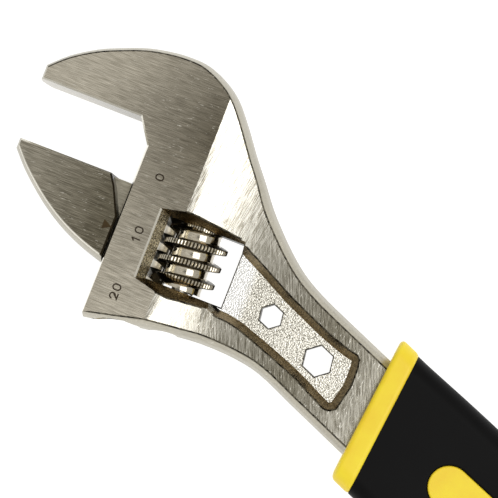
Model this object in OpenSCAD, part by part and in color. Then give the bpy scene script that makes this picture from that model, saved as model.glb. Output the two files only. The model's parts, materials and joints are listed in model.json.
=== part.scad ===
// Adjustable wrench, 150 mm class, lying flat.
// The origin is the middle of the fixed jaw's face. +X runs along the handle,
// +Z is up and z = 0 is the forging's parting plane.
// Jaw frame: p runs from the jaw tips to the handle, q is the way the jaw opens.

/* [Jaws] */
// Angle between the jaw faces and the handle
jaw_angle = 22.5; // [15:0.5:30]
// Opening between the jaw faces as stored
jaw_opening = 10.4; // [4:0.1:14]
// Reach of the jaws in front of the head's front edge
jaw_reach = 20; // [16:0.5:24]
// Width of the cut in the throat, along the jaw face
throat_p = 2.7; // [1.5:0.1:4]
// Depth of the cut in the throat, along the opening
throat_q = 4.1; // [2:0.1:6]
// Height of the moving jaw at its root
jaw_root = 14.4; // [12:0.1:18]
// Gap between the moving jaw's plate and the head's front edge
jaw_gap = 0.4; // [0.3:0.1:1]

/* [Head and neck] */
// Thickness of the head
head_t = 12; // [10:0.5:15]
// Height of the head's back above the jaw face
head_back = 12.5; // [11:0.5:16]
// Distance from the jaw face to the head's lower corner
head_drop = 34.1; // [33:0.1:42]
// Thickness of the neck and the tang
neck_t = 9; // [7:0.5:10]
// Width of the tang at the parting plane
tang_w = 16.6; // [14:0.2:19]
// Draft of the forging at the top of the head, measured sideways
draft = 1.1; // [0.5:0.1:1.5]
// Depth of the neck's panel below the neck's face
panel_depth = 2.3; // [1:0.1:2.6]
// Width of the panel at its narrow end
panel_w = 9.4; // [8:0.2:11]
// Small hexagon hole, across flats
hex_small = 3.5; // [2.5:0.1:4.5]
// Large hexagon hole, across flats
hex_large = 4.5; // [3.5:0.1:5.2]
// Distance between the hexagon holes
hex_pitch = 10.6; // [9:0.1:12]

/* [Worm drive] */
// Lead of the worm's single thread
lead = 3; // [2.4:0.1:3.6]
// Radius of the worm's core
worm_core_r = 3.5; // [3:0.1:4.2]
// Depth of the worm's thread
thread_depth = 1.8; // [1.4:0.1:2.2]
// Width of the thread's crest
crest_w = 0.8; // [0.5:0.1:1]
// Width of the thread at its base
base_w = 1.5; // [1.2:0.1:1.8]
// Length of the worm
worm_len = 10.8; // [9:0.1:13]
// Radius of the moving jaw's rack rod
rod_r = 4.2; // [3.4:0.1:5.1]
// Distance from the head's front edge to the rod's axis
rod_p = 5; // [4.5:0.1:6.2]
// Length of the rack rod
rod_len = 18.1; // [15:0.1:22]
// Width of a rack tooth at its tip
tooth_tip_w = 0.7; // [0.5:0.1:0.9]
// Width of a rack tooth at its root
tooth_root_w = 1.4; // [1:0.1:1.5]
// Thickness of the jaw's web in the head's slot
web_t = 3.9; // [3:0.1:5]
// Radius of the worm's pin
pin_r = 1.5; // [1.2:0.05:1.8]
// Radius of the pin's slotted head
pin_head_r = 2.3; // [2:0.1:2.8]
// Length of the pin's slotted head
pin_head_len = 2.6; // [2:0.1:3.2]
// Radius of the worm spring's wire
wire_r = 0.25; // [0.2:0.01:0.3]
// Pitch of the worm spring's coils
coil_pitch = 0.9; // [0.7:0.05:1.2]

/* [Grip] */
// Length of the grip behind the small hexagon hole
grip_end = 102; // [92:1:130]
// Width of the grip at its widest
grip_w = 24.4; // [21:0.2:28]
// Thickness of the grip
grip_t = 15; // [13:0.2:18]
// Thickness of the soft cover
cover_t = 1.8; // [1.2:0.1:2]
// Width of the collar along the handle
collar_w = 3.8; // [3:0.1:5]
// Slant of the collar's edges
collar_slant = 16.3; // [0:0.1:20]
// How far the collar stands proud of the cover
collar_proud = 0.25; // [0:0.05:0.5]
// Radius of the inlay's front end
inlay_r = 3.5; // [2.5:0.1:4]
// Length of the inlay
inlay_len = 42; // [25:1:46]
// Radius of the hanging hole
hang_r = 3; // [2:0.1:3.4]
// Wall of the eyelet round the hanging hole
eyelet_wall = 1.4; // [1:0.1:2]

/* [Fits] */
// Radial clearance of the rod in its bore
rod_fit = 0.08; // [0.03:0.01:0.1]
// Clearance of the web on each side of its slot
web_fit = 0.1; // [0.05:0.01:0.2]
// Radial clearance of the worm on its pin
worm_fit = 0.06; // [0.02:0.01:0.1]
// Radial clearance of the pin in the head
pin_fit = 0.02; // [0.01:0.01:0.05]
// End clearance of the worm in its window
worm_end = 0.1; // [0.05:0.01:0.2]
// Gap between a thread's top and the root that it faces
root_gap = 0.5; // [0.3:0.05:0.7]

/* [Hidden] */
$fn = 64;

forging = [0.63, 0.62, 0.6];
bright = [0.8, 0.8, 0.78];
yellow = [0.95, 0.85, 0.23];
black = [0.13, 0.13, 0.13];
ink = [0.2, 0.15, 0.12];

// past: how far a cutter runs beyond what it cuts; skin: a hull's thinnest slice
past = 1;
skin = 0.01;
far = 60;

// Worm and rack, all from the rod's place and the thread's depth
worm_p = rod_p + rod_r + root_gap + worm_core_r;
worm_r = worm_core_r + thread_depth;
rack_root_p = worm_p - worm_r - root_gap;
window_top = 13.5;
window_len = worm_len + 2 * worm_end;
window_front = rack_root_p + 0.1;
window_back_gap = 2.2;
window_back = worm_p + worm_r + window_back_gap;
window_mouth = 1.5;
mouth_low = 2.2;
shelf_gap = 3;
shelf_flare = 0.8;
window_lip_z = 3.5;
worm_top = window_top + worm_end;
lead_angle = atan(lead / (2 * PI * (worm_r - thread_depth / 2)));
first_groove = 1.2;
// The web starts just under the jaw's face and follows its back
web_step = 0.3;
web_len = jaw_root - 0.3;
web_front = throat_p + 1.2;
closed_clear = 0.3;

// Pin and spring
pin_top = window_top - 6.5;
pin_end = 30.8;
slot_w = 0.6;
slot_depth = 0.8;
coil_room = 0.25;
coil_r = pin_r + coil_room + wire_r;
spring_pocket_r = coil_r + wire_r + 0.35;
spring_len = 4;
spring_turns = floor((spring_len - 2 * wire_r) / coil_pitch);

// Places in the row's frame
jaw_mid = (jaw_reach + throat_p) / 2;
handle = [45.96, -5.72];
half_t = head_t / 2;
neck_z = neck_t / 2;
panel_z = neck_z - panel_depth;
shelf_z = half_t - 1.2;
face_end = 10;
ramp_len = 14;
collar_x = 21.65;
cover_x = collar_x + collar_w;
tang_end = grip_end - 14;
hang_x = grip_end - 8;
mark_t = 0.06;
neck_draft = 2.2;

// A jaw-frame point, with its draft factor, in the row's frame
function jaw(p, q, k = 1) = [
    (p + jaw_mid) * cos(jaw_angle) + q * sin(jaw_angle),
    (p + jaw_mid) * sin(jaw_angle) - q * cos(jaw_angle),
    k
];

// A point measured from the small hexagon hole, along and across the handle
function grip(x, y, k = 1) = [handle[0] + x, handle[1] + y, k];

// One span of a Catmull-Rom curve
function span(a, b, c, d, t) =
    0.5 * (2 * b + (c - a) * t + (2 * a - 5 * b + 4 * c - d) * t * t
    + (3 * b - a - 3 * c + d) * t * t * t);

// A smooth curve through the points, with n steps between neighbours
function curve(pts, n) = let (last = len(pts) - 1) concat(
    [for (i = [0 : last - 1], k = [0 : n - 1])
        span(pts[max(i - 1, 0)], pts[i], pts[i + 1], pts[min(i + 2, last)], k / n)],
    [pts[last]]
);

// Sideways inset of a drafted wall at height z, for half thickness h
function inset(z, h, d) = d * pow(abs(z) / h, 2);

function unit(v) = v / max(norm(v), 0.000001);
function left_of(v) = [-v[1], v[0]];
function flat(v) = [v[0], v[1]];

// The loop moved inwards by d times each point's own factor, at height z
function inner_loop(loop, d, z) = let (n = len(loop)) [
    for (i = [0 : n - 1])
        let (
            before = unit(flat(loop[i]) - flat(loop[(i + n - 1) % n])),
            after = unit(flat(loop[(i + 1) % n]) - flat(loop[i])),
            way = unit(left_of(before) + left_of(after)),
            mitre = 1 / max(way * left_of(after), 0.5),
            at = flat(loop[i]) - way * d * loop[i][2] * mitre
        ) [at[0], at[1], z]
];

// A solid between two edge curves with the same number of points. levels holds
// [height, inset] from the bottom up. It is written clockwise from above.
module ribbon(upper, lower, levels) {
    m = len(upper);
    loop = concat(upper, [for (i = [m - 1 : -1 : 0]) lower[i]]);
    n = len(loop);
    top = (len(levels) - 1) * n;
    points = [for (level = levels) each inner_loop(loop, level[1], level[0])];
    sides = [for (j = [0 : len(levels) - 2], i = [0 : n - 1])
        let (a = j * n + i, b = j * n + (i + 1) % n)
        each [[a, b, b + n], [a, b + n, a + n]]];
    floor_faces = [for (i = [0 : m - 2])
        each [[i, n - 1 - i, i + 1], [i + 1, n - 1 - i, n - 2 - i]]];
    roof_faces = [for (i = [0 : m - 2])
        each [[top + i, top + i + 1, top + n - 1 - i],
              [top + i + 1, top + n - 2 - i, top + n - 1 - i]]];
    polyhedron(points, concat(sides, floor_faces, roof_faces));
}

// Levels of a forging's walls, drafted both ways from the parting plane
function forged_levels(h, d) = [
    for (z = [-1, -0.8, -0.5, 0, 0.5, 0.8, 1]) [z * h, inset(z * h, h, d)]
];

module jaw_frame() {
    translate([jaw_mid * cos(jaw_angle), jaw_mid * sin(jaw_angle), 0])
        rotate(jaw_angle)
            children();
}

module handle_frame() {
    translate([handle[0], handle[1], 0])
        children();
}

// A cylinder along the opening, from q on, at p
module along_q(p, q, len, r) {
    translate([p, -q, 0])
        rotate([90, 0, 0])
            cylinder(h = len, r = r);
}

// A box in the jaw frame, centred on the parting plane
module jaw_box(p0, p1, q0, q1, t) {
    translate([p0, -q1, -t / 2])
        cube([p1 - p0, q1 - q0, t]);
}

// A straight prism over points given as [p, q] in the jaw frame
module jaw_prism(points, t) {
    translate([0, 0, -t / 2])
        linear_extrude(t)
            polygon([for (at = points) [at[0], -at[1]]]);
}

// ---- body -----------------------------------------------------------------

// The edge of the forging over the fixed jaw, the head and the neck
function body_upper() = concat(
    curve([
        jaw(-jaw_reach - draft, -2.7), jaw(-18, -5.6), jaw(-14, -8.2), jaw(-10, -10),
        jaw(-6, 1.05 - head_back), jaw(-2, 0.25 - head_back), jaw(1.5, -head_back),
        jaw(4.5, 0.3 - head_back), jaw(8, -10.75), jaw(11, -8.6), jaw(14, -5.1, 1.2),
        grip(-20, 17.5, 1.5), grip(-16, 15.35, 1.8), grip(-12, 13.1, neck_draft),
        grip(-8, 11.3, neck_draft), grip(-4, 9.8, neck_draft),
        grip(0, 8.75, neck_draft), grip(5, tang_w / 2, neck_draft),
        grip(12, tang_w / 2, neck_draft)
    ], 4),
    [grip(tang_end, tang_w / 2, neck_draft)]
);

// The edge under the head and the neck, with stock in front for the cuts
function body_lower() = concat(
    curve([
        jaw(-jaw_reach - draft, 3), jaw(-14.5, 3), jaw(-9, 3), jaw(-5, 3.5),
        jaw(-3, 7), jaw(-2, 11.5), jaw(-2, 16), jaw(-2, 21), jaw(-2, 26),
        jaw(-2, head_drop - 3), jaw(-0.8, head_drop + 0.1), jaw(4, head_drop - 0.65),
        jaw(8, head_drop - 1.4, 1.2), jaw(12, head_drop - 2, 1.5),
        jaw(16, head_drop - 2.5, 1.8), grip(-5, -11.2, neck_draft),
        grip(0, -9.35, neck_draft), grip(5, -tang_w / 2, neck_draft),
        grip(12, -tang_w / 2, neck_draft)
    ], 4),
    [grip(tang_end, -tang_w / 2, neck_draft)]
);

// Side view: the head's flat face, the sweep down and the neck's level
module thickness_prism() {
    steps = 7;
    sweep = [for (i = [0 : steps]) let (t = i / steps)
        [face_end + ramp_len * t, neck_z + (half_t - neck_z) * pow(1 - t, 2)]];
    edge = concat([[-far, half_t]], sweep, [[grip_end + far, neck_z]]);
    under = [for (i = [len(edge) - 1 : -1 : 0]) [edge[i][0], -edge[i][1]]];
    translate([0, far, 0])
        rotate([90, 0, 0])
            linear_extrude(3 * far)
                polygon(concat(edge, under));
}

// Mouth: the jaw face, the throat's cut and the head's front edge
module mouth_cut() {
    jaw_prism([
        [-far, 0], [-throat_p, 0], [0, throat_q], [0, far], [-far, far]
    ], head_t + 2 * past);
}

// Bore and slot that guide the moving jaw
module guide_cut() {
    along_q(rod_p, -closed_clear, far, rod_r + rod_fit);
    jaw_box(-throat_p - closed_clear, rod_p, -closed_clear, far, web_t + 2 * web_fit);
}

// The window's mouth on the upper face, narrower at its front corners. front and
// flare give its front wall's place and how far that wall leans.
module window_mouth_cut(front, flare) {
    low = window_top + window_len;
    knee = face_end + 3;
    mouth = [
        [front - flare, window_top - 0.6], [face_end, window_top - window_mouth],
        [knee, window_top - window_mouth - 0.3], [window_back, window_top - 1.2],
        [window_back, low + mouth_low], [knee, low + mouth_low - 0.1],
        [face_end, low + window_mouth], [front - flare, low + 0.5]
    ];
    hull() {
        translate([front, -low, window_lip_z - skin])
            cube([window_back - front, window_len, skin]);
        translate([0, 0, half_t])
            linear_extrude(skin)
                polygon([for (at = mouth) [at[0], -at[1]]]);
    }
}

// Window for the worm. Under the rack a shelf closes it as far as the worm's core.
module window_cut() {
    low = window_top + window_len;
    translate([0, 0, (window_lip_z - shelf_z) / 2])
        jaw_box(window_front, window_back, window_top, low, window_lip_z + shelf_z);
    window_mouth_cut(window_front, window_mouth);
    mirror([0, 0, 1])
        window_mouth_cut(worm_p - shelf_gap, shelf_flare);
}

// Bore for the pin, with the seat of its head
module pin_cut() {
    along_q(worm_p, pin_top - pin_fit, far, pin_r + pin_fit);
    along_q(worm_p, pin_end - pin_head_len, far, pin_head_r + pin_fit);
}

// Panel in the neck, on one face
module panel_cut() {
    w = panel_w / 2;
    upper = curve([
        jaw(16.5, 15), jaw(19.8, 13.4), grip(-9.5, 5.3), grip(-5, 5), grip(0, 4.6),
        grip(5, w - 0.2), grip(9, w - 0.2), grip(13, w + 0.1), grip(15.4, w + 0.1),
        grip(17.4, 0.6)
    ], 3);
    lower = curve([
        jaw(16.5, 23.2), grip(-7.4, -6.3), grip(-5, -5.7), grip(-2.5, -5.2), grip(0, -5),
        grip(5, -w), grip(10, -w + 0.1), grip(14.5, -w - 0.1), grip(17, -w - 0.1),
        grip(18.1, -3.6)
    ], 3);
    ribbon(upper, lower, [
        [panel_z, 1.2], [panel_z + 0.7, 0.7], [half_t + past, -1.1]
    ]);
}

module hex_hole(x, flats) {
    translate([x, 0, -neck_z])
        cylinder(h = neck_t, d = flats / cos(30), $fn = 6);
}

module body() {
    color(forging)
        difference() {
            intersection() {
                ribbon(body_upper(), body_lower(), forged_levels(half_t, draft));
                jaw_frame()
                    thickness_prism();
            }
            jaw_frame() {
                mouth_cut();
                guide_cut();
                window_cut();
                pin_cut();
            }
            for (side = [0, 1])
                mirror([0, 0, side])
                    panel_cut();
            handle_frame() {
                hex_hole(0, hex_small);
                hex_hole(hex_pitch, hex_large);
            }
        }
}

// ---- moving jaw -----------------------------------------------------------

// The jaw's plate: the forged back, with its face and rear edge cut
module jaw_plate() {
    q = jaw_opening;
    r = jaw_root;
    back = curve([
        jaw(-jaw_reach - draft + 0.3, q + 1.8), jaw(-18, q + 4.8), jaw(-14, q + 8.15),
        jaw(-10, q + r - 3.65), jaw(-6, q + r - 1.75), jaw(-2, q + r - 0.4),
        jaw(2, q + r + 0.6)
    ], 5);
    tip = -jaw_reach - draft + 0.3;
    last = len(back) - 1;
    front = concat([jaw(tip, q - 3)], [for (i = [1 : last])
        jaw(tip + 2.5 + (2 - tip - 2.5) * (i - 1) / (last - 1), q - 3)]);
    difference() {
        ribbon(front, back, forged_levels(half_t, draft));
        jaw_frame() {
            jaw_box(-far, far, q - far, q, head_t + 2 * past);
            jaw_box(-jaw_gap, far, -far, far, head_t + 2 * past);
            jaw_prism([
                [-throat_p - 1.1, q - past], [-throat_p - 1.1, q], [-throat_p + 0.2, q + 2],
                [-jaw_gap, q + throat_q + 2.3], [past, q + throat_q + 2.3], [past, q - past]
            ], head_t + 2 * past);
        }
    }
}

// A groove of the rack, square across the rod but for the lead's angle
module rack_groove(q) {
    tip_p = rod_p + rod_r;
    wide = (lead - tooth_tip_w) / 2;
    narrow = (lead - tooth_root_w) / 2;
    slope = (wide - narrow) / (tip_p - rack_root_p);
    outer = wide + slope * past;
    translate([0, -q, 0])
        rotate([-lead_angle, 0, 0])
            jaw_prism([
                [rack_root_p, -narrow], [tip_p + past, -outer],
                [tip_p + past, outer], [rack_root_p, narrow]
            ], 3 * rod_r);
}

// The web that joins the plate to the rod
module jaw_web() {
    top = jaw_opening + web_step;
    low = jaw_opening + web_len;
    jaw_prism([
        [-web_front, top], [rod_p, top], [rod_p, low], [-jaw_gap, low],
        [-jaw_gap - 1.6, low - 1], [-web_front, low - 2]
    ], web_t);
}

module movable_jaw() {
    grooves = floor((rod_len - first_groove) / lead);
    color(forging)
        difference() {
            union() {
                jaw_plate();
                jaw_frame() {
                    jaw_web();
                    along_q(rod_p, jaw_opening + web_step, rod_len - web_step, rod_r);
                }
            }
            jaw_frame()
                for (i = [0 : grooves])
                    rack_groove(jaw_opening + first_groove + i * lead);
        }
}

// ---- worm, pin and spring -------------------------------------------------

// A right-hand screw about +Z from z = 0 to len. Its crest is at height start
// on the side that faces -X.
module screw(len, start, steps) {
    flank = (base_w - crest_w) / 2;
    // Height and radius at the four corners of each turn's profile
    profile = [
        [-crest_w / 2, worm_r], [crest_w / 2, worm_r],
        [crest_w / 2 + flank, worm_core_r], [lead - crest_w / 2 - flank, worm_core_r]
    ];
    turns = ceil(len / lead) + 3;
    rows = 4 * turns;
    first = start - lead / 2 - 2 * lead;
    points = concat(
        [for (k = [0 : rows - 1], j = [0 : steps - 1])
            let (turn = 360 * j / steps, at = profile[k % 4])
            [at[1] * cos(turn), at[1] * sin(turn),
             first + lead * floor(k / 4) + at[0] + lead * turn / 360]],
        [[0, 0, first - lead], [0, 0, first + lead * (turns + 1)]]
    );
    // Each row runs on into the row four further on, one turn later
    function at(k, j) = j < steps ? k * steps + j : (k + 4) * steps;
    walls = [for (k = [0 : rows - 2], j = [0 : steps - 1])
        if (j < steps - 1 || k + 5 < rows)
            each [[at(k, j), at(k + 1, j), at(k + 1, j + 1)],
                  [at(k, j), at(k + 1, j + 1), at(k, j + 1)]]];
    low = rows * steps;
    base = concat(
        [for (j = [0 : steps - 1]) [low, at(0, j), at(0, j + 1)]],
        [for (k = [0 : 3]) [low, at(k + 1, 0), at(k, 0)]]
    );
    tops = concat(
        [for (j = [0 : steps - 2]) [low + 1, at(rows - 1, j + 1), at(rows - 1, j)]],
        [for (k = [rows - 5 : rows - 2])
            [low + 1, at(k, steps - 1), at(k + 1, steps - 1)]],
        [[low + 1, at(rows - 5, steps), at(rows - 5, steps - 1)]]
    );
    polyhedron(points, concat(walls, base, tops));
}

module worm() {
    groove = jaw_opening + first_groove - worm_top;
    color(bright)
        jaw_frame()
            translate([worm_p, -worm_top, 0])
                rotate([90, 0, 0])
                    difference() {
                        intersection() {
                            screw(worm_len, groove - lead * floor(groove / lead), 40);
                            cylinder(h = worm_len, r = worm_r + past);
                        }
                        translate([0, 0, -past])
                            cylinder(h = worm_len + 2 * past, r = pin_r + worm_fit);
                        translate([0, 0, worm_len - spring_len])
                            cylinder(h = spring_len + past, r = spring_pocket_r);
                    }
}

module worm_pin() {
    color(bright)
        jaw_frame()
            difference() {
                union() {
                    along_q(worm_p, pin_top, pin_end - pin_top, pin_r);
                    along_q(worm_p, pin_end - pin_head_len, pin_head_len, pin_head_r);
                }
                jaw_box(worm_p - far, worm_p + far, pin_end - slot_depth, pin_end + past,
                        slot_w);
            }
}

module worm_spring() {
    sides = 8;
    steps = 16;
    count = spring_turns * steps;
    rise = spring_len - 2 * wire_r + worm_end / 2;
    rings = [for (i = [0 : count])
        let (turn = 360 * i / steps, slope = atan(rise / (spring_turns * 2 * PI * coil_r)))
        each [for (s = [0 : sides - 1])
            let (a = 360 * s / sides, out = coil_r + wire_r * cos(a), up = wire_r * sin(a))
            [out * cos(turn) + up * sin(slope) * sin(turn),
             out * sin(turn) - up * sin(slope) * cos(turn),
             rise * i / count + wire_r + up * cos(slope)]]];
    walls = [for (i = [0 : count - 1], s = [0 : sides - 1])
        let (a = i * sides + s, b = i * sides + (s + 1) % sides)
        each [[a, b, b + sides], [a, b + sides, a + sides]]];
    ends = concat(
        [for (s = [1 : sides - 2]) [0, s + 1, s]],
        [for (s = [1 : sides - 2]) [count * sides, count * sides + s, count * sides + s + 1]]
    );
    color(bright)
        jaw_frame()
            translate([worm_p, -worm_top - worm_len + spring_len - worm_end / 2, 0])
                rotate([90, 0, 0])
                    polyhedron(rings, concat(walls, ends));
}

// ---- grip -----------------------------------------------------------------

// The grip's outer shape, shrunk by s on every side
module grip_shape(s) {
    w = grip_w / 2;
    end = grip_end - s;
    side = curve([
        [8, w - 0.6], [24, w - 0.3], [36, w], [50, w], [end - 32, w - 0.7],
        [end - 16, w - 0.5], [end - 8, w - 1.3], [end - 3, w - 4], [end - 0.6, w - 7.5]
    ], 3);
    upper = [for (at = side) grip(at[0], at[1] - s)];
    lower = [for (at = side) grip(at[0], s - at[1])];
    half = grip_t / 2 - s;
    round = min(3.2, half / 2);
    levels = [for (a = [90, 65, 40, 20, 0])
        [half - round * (1 - sin(a)), round * (1 - cos(a))]];
    ribbon(upper, lower, concat(
        [for (level = levels) [-level[0], level[1]]],
        [for (i = [4 : -1 : 0]) levels[i]]
    ));
}

// Everything behind a slanted plane that crosses the handle's axis at x
module behind(x) {
    handle_frame()
        translate([x, 0, 0])
            rotate(collar_slant)
                translate([0, -far, -far])
                    cube([4 * far, 2 * far, 2 * far]);
}

// The tang's section, the whole length of the grip
module tang_pocket() {
    side = [for (level = forged_levels(half_t, draft))
        [tang_w / 2 - level[1] * neck_draft, level[0]]];
    other = [for (i = [len(side) - 1 : -1 : 0]) [-side[i][0], side[i][1]]];
    handle_frame()
        intersection() {
            translate([12, 0, 0])
                rotate([90, 0, 90])
                    linear_extrude(tang_end - 12)
                        polygon(concat(side, other));
            translate([0, -far, -neck_z])
                cube([grip_end, 2 * far, neck_t]);
        }
}

// The inlay's outline, widening slightly towards the back
module inlay(t) {
    front = cover_x + 14.45;
    handle_frame()
        translate([0, 0, -t / 2])
            linear_extrude(t)
                hull() {
                    translate([front, 0])
                        circle(inlay_r, $fn = 32);
                    translate([front + inlay_len - 2 * inlay_r, 0])
                        circle(inlay_r + 0.6, $fn = 32);
                }
}

module at_hang() {
    handle_frame()
        translate([hang_x, 0, -grip_t / 2])
            children();
}

module grip_core() {
    color(yellow)
        difference() {
            union() {
                intersection() {
                    grip_shape(-collar_proud);
                    difference() {
                        behind(collar_x);
                        behind(cover_x);
                    }
                }
                intersection() {
                    grip_shape(cover_t);
                    behind(cover_x);
                }
                inlay(grip_t);
                at_hang()
                    cylinder(h = grip_t, r = hang_r + eyelet_wall);
            }
            tang_pocket();
            at_hang()
                translate([0, 0, -past])
                    cylinder(h = grip_t + 2 * past, r = hang_r);
        }
}

module grip_cover() {
    color(black)
        difference() {
            intersection() {
                grip_shape(0);
                behind(cover_x);
            }
            grip_shape(cover_t);
            inlay(grip_t + past);
            at_hang()
                translate([0, 0, -past])
                    cylinder(h = grip_t + 2 * past, r = hang_r + eyelet_wall);
        }
}

// ---- marks ----------------------------------------------------------------

mark_line = 0.22;
mark_h = 1.5;
mark_w = 1.15;
mark_pitch = 1.5;
mark_p = 3.9;

module stadium(w, h) {
    for (side = [-1, 1])
        translate([0, side * (h - w) / 2])
            circle(d = w, $fn = 32);
    square([w, h - w], center = true);
}

module zero() {
    difference() {
        stadium(mark_w, mark_h);
        stadium(mark_w - 2 * mark_line, mark_h - 2 * mark_line);
    }
}

module one() {
    square([mark_line, mark_h], center = true);
    translate([-mark_line, mark_h / 2 - 0.3])
        rotate(40)
            square([0.6, mark_line], center = true);
}

module two() {
    r = mark_w / 2;
    translate([0, mark_h / 2 - r])
        difference() {
            circle(r, $fn = 32);
            circle(r - mark_line, $fn = 32);
            rotate(180)
                translate([-0.15, 0])
                    square([2 * r, 2 * r]);
        }
    translate([0, -mark_h / 2 + mark_line / 2])
        square([mark_w, mark_line], center = true);
    polygon([
        [-r, -mark_h / 2], [-r + 0.3, -mark_h / 2], [r, 0.12], [r - 0.28, 0.2]
    ]);
}

// Puts a digit on the head's face, read from the handle's side
module digit(q) {
    jaw_frame()
        translate([mark_p, -q, half_t])
            rotate(90)
                linear_extrude(mark_t)
                    children();
}

module scale_marks() {
    start = jaw_opening - 2.1;
    color(ink) {
        digit(start)
            zero();
        digit(start + 10 - mark_pitch / 2)
            zero();
        digit(start + 10 + mark_pitch / 2)
            one();
        digit(start + 20 - mark_pitch / 2)
            zero();
        digit(start + 20 + mark_pitch / 2)
            two();
    }
}

module index_mark() {
    q = jaw_opening + 8.3;
    color(ink)
        jaw_frame()
            translate([0, 0, half_t])
                linear_extrude(mark_t)
                    polygon([[-jaw_gap - 0.1, -q], [-jaw_gap - 1.65, -q - 0.8],
                             [-jaw_gap - 1.65, -q + 0.8]]);
}

body();
movable_jaw();
worm();
worm_pin();
worm_spring();
grip_core();
grip_cover();
scale_marks();
index_mark();
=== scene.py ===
"""An adjustable wrench with a forged, plated head and a two-shot moulded grip.

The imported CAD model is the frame. Each class below builds or dresses one part of
the tool around it, in metres and in the row's own axes: +X along the handle, +Z up.
"""

import json
import logging
import math
from dataclasses import dataclass, field
from enum import Enum
from typing import Callable, Iterable, Protocol, Sequence

import bmesh
import bpy
from mathutils import Matrix, Vector


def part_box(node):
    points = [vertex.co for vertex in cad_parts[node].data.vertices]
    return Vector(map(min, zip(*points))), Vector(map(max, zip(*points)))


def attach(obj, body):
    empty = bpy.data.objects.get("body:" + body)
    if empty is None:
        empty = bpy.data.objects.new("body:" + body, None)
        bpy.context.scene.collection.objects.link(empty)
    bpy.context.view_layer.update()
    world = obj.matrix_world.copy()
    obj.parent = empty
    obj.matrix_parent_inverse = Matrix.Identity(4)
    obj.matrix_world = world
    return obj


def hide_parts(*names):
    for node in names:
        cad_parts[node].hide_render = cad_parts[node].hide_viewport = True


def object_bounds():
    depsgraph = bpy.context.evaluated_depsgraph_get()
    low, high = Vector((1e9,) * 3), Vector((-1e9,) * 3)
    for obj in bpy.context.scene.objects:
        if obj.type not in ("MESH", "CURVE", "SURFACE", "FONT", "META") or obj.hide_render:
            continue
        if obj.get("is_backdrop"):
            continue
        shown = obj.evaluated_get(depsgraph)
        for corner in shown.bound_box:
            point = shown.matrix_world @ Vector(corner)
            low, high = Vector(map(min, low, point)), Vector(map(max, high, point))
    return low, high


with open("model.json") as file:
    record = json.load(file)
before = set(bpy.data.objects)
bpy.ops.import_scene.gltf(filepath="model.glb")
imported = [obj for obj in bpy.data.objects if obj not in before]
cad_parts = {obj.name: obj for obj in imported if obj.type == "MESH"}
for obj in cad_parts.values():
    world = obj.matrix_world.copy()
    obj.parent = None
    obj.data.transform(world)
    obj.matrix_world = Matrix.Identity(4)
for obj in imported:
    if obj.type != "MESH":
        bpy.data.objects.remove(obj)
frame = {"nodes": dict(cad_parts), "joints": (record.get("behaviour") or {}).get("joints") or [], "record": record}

log = logging.getLogger("wrench")

MM = 0.001


# ---- places taken from the frame --------------------------------------------


def joint_named(name: str) -> dict:
    """Returns the record's joint of that name."""
    return next(j for j in frame["joints"] if j["name"] == name)


def mount_named(name: str) -> dict:
    """Returns the record's mount of that name."""
    return next(m for m in frame["record"]["mounts"] if m["name"] == name)


@dataclass(frozen=True)
class JawAxes:
    """The jaws' own axes: q is the way the jaw opens, p runs towards the handle.

    p and q are zero where the fixed jaw's face would meet the head's front edge.
    """

    q_axis: Vector
    p_axis: Vector
    root: Vector

    @classmethod
    def from_frame(cls) -> "JawAxes":
        """Reads the axes from the jaw's slide and the head's front edge."""
        q_axis = Vector(joint_named("jaw_slide")["axis"]).normalized()
        p_axis = Vector((-q_axis.y, q_axis.x, 0.0))
        face_to_front = 11.35 * MM
        return cls(q_axis, p_axis, p_axis * face_to_front)

    def point(self, p: float, q: float, z: float = 0.0) -> Vector:
        """Returns the row's point for p, q and z in metres."""
        return self.root + self.p_axis * p + self.q_axis * q + Vector((0, 0, z))

    def local(self, at: Vector) -> tuple[float, float]:
        """Returns p and q of a point in the row's axes."""
        away = at - self.root
        return away.dot(self.p_axis), away.dot(self.q_axis)


JAW = JawAxes.from_frame()
HANDLE_Y = mount_named("hang_hole")["pos_m"][1]
HEX_X = mount_named("hex_small")["pos_m"][0]
HALF_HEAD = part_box("body")[1].z
HALF_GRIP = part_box("grip_cover")[1].z


# ---- small helpers ----------------------------------------------------------


def linear(code: str) -> tuple[float, float, float, float]:
    """Turns an sRGB hex colour into linear RGBA.

    Args:
        code: six hex digits, with or without a leading #.

    Returns:
        Red, green, blue and alpha from 0 to 1.
    """
    code = code.lstrip("#")
    parts = [int(code[i : i + 2], 16) / 255 for i in (0, 2, 4)]
    lin = [c / 12.92 if c <= 0.04045 else ((c + 0.055) / 1.055) ** 2.4 for c in parts]
    return lin[0], lin[1], lin[2], 1.0


def new_material(name: str) -> tuple[bpy.types.Material, bpy.types.NodeTree]:
    """Makes an empty node material.

    Args:
        name: the finish's name.

    Returns:
        The material and its node tree.
    """
    material = bpy.data.materials.new(name)
    material.use_nodes = True
    material.node_tree.nodes.clear()
    return material, material.node_tree


def add(tree: bpy.types.NodeTree, kind: str, inputs: dict | None = None,
        **settings: object) -> bpy.types.Node:
    """Adds one node, sets it up and links it.

    Args:
        tree: the node tree to add to.
        kind: the node's type, without the ShaderNode prefix.
        inputs: for each input, by name or number, a value or a socket to link from.
        **settings: properties of the node itself.

    Returns:
        The new node.
    """
    node = tree.nodes.new("ShaderNode" + kind)
    for key, value in settings.items():
        setattr(node, key, value)
    for key, value in (inputs or {}).items():
        if isinstance(value, bpy.types.NodeSocket):
            tree.links.new(value, node.inputs[key])
        else:
            node.inputs[key].default_value = value
    return node


def new_object(name: str, mesh: bpy.types.Mesh) -> bpy.types.Object:
    """Makes an object for a mesh and puts it in the scene.

    Args:
        name: the piece's name.
        mesh: its mesh.

    Returns:
        The new object.
    """
    obj = bpy.data.objects.new(name, mesh)
    bpy.context.scene.collection.objects.link(obj)
    return obj


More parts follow.
